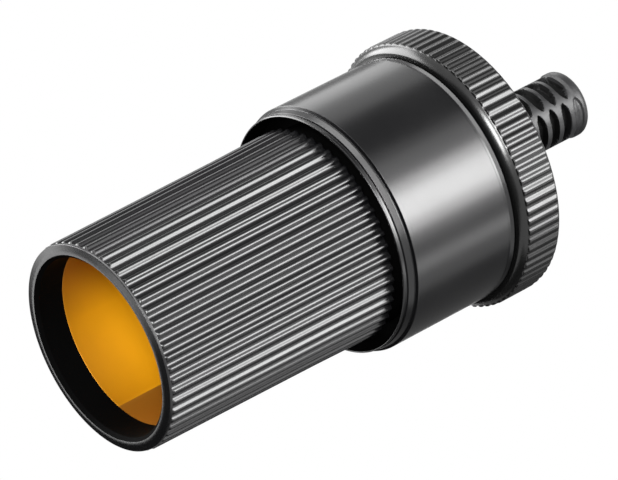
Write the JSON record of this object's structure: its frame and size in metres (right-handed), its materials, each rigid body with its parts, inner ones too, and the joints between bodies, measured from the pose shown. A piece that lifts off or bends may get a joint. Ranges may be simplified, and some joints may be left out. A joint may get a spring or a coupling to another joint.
{
  "type": "in-line vehicle power socket",
  "caption": "Black in-line 12 V power socket: ribbed barrel with a brass-lined round bore, smooth collar housing, knurled screw cap and slotted cable boot.",
  "frame": {"origin": "centre of the mouth, on the plane of the front lip that the socket stands on", "axes": "+Z along the socket's axis from the mouth to the cable end; +X towards the positive terminal inside"},
  "size_m": [0.032, 0.032, 0.069],
  "materials": {
    "moulded_shell": "black ABS, glossy from a polished mould",
    "moulded_cap": "black ABS, glossy, knurled grip",
    "moulded_inner": "black ABS, satin",
    "contact_brass": "bare pressed brass",
    "terminal_brass": "bare stamped brass",
    "insulator": "brown phenolic moulding",
    "plated_steel": "zinc-plated steel",
    "nylon": "natural nylon",
    "gasket_rubber": "black rubber",
    "fibre": "vulcanised fibre",
    "boot_rubber": "black soft vinyl, satin"
  },
  "bodies": {
    "housing": {"front_barrel": "moulded_shell", "rear_housing": "moulded_shell", "contact_sleeve": "contact_brass", "contact_bush": "insulator", "terminal_base": "insulator", "base_screws": "plated_steel", "centre_contact": "contact_brass", "stud_washer": "plated_steel", "stud_nut": "plated_steel", "positive_terminal": "terminal_brass", "positive_clamp": "plated_steel", "positive_screw": "plated_steel", "negative_terminal": "terminal_brass", "negative_rivet": "terminal_brass", "negative_clamp": "plated_steel", "negative_screw": "plated_steel", "gland_plate": "moulded_inner", "grip_collet": "nylon", "cap_gasket": "gasket_rubber"},
    "strain_relief": {"strain_relief_boot": "boot_rubber", "thrust_washer": "fibre"},
    "cap": {"cap_nut": "moulded_cap"}
  },
  "joints": [
    {"name": "cap_travel", "type": "slide", "parent": "housing", "child": "strain_relief", "axis": [0, 0, 1], "range_m": [0, 0.0036]},
    {"name": "cap_turn", "type": "hinge", "parent": "strain_relief", "child": "cap", "pos_m": [0, 0, 0.0495], "axis": [0, 0, 1], "range_deg": [0, 864]}
  ],
  "couplings": [
    {"joint": "cap_travel", "follows": "cap_turn", "m_per_rad": 0.0002387}
  ]
}
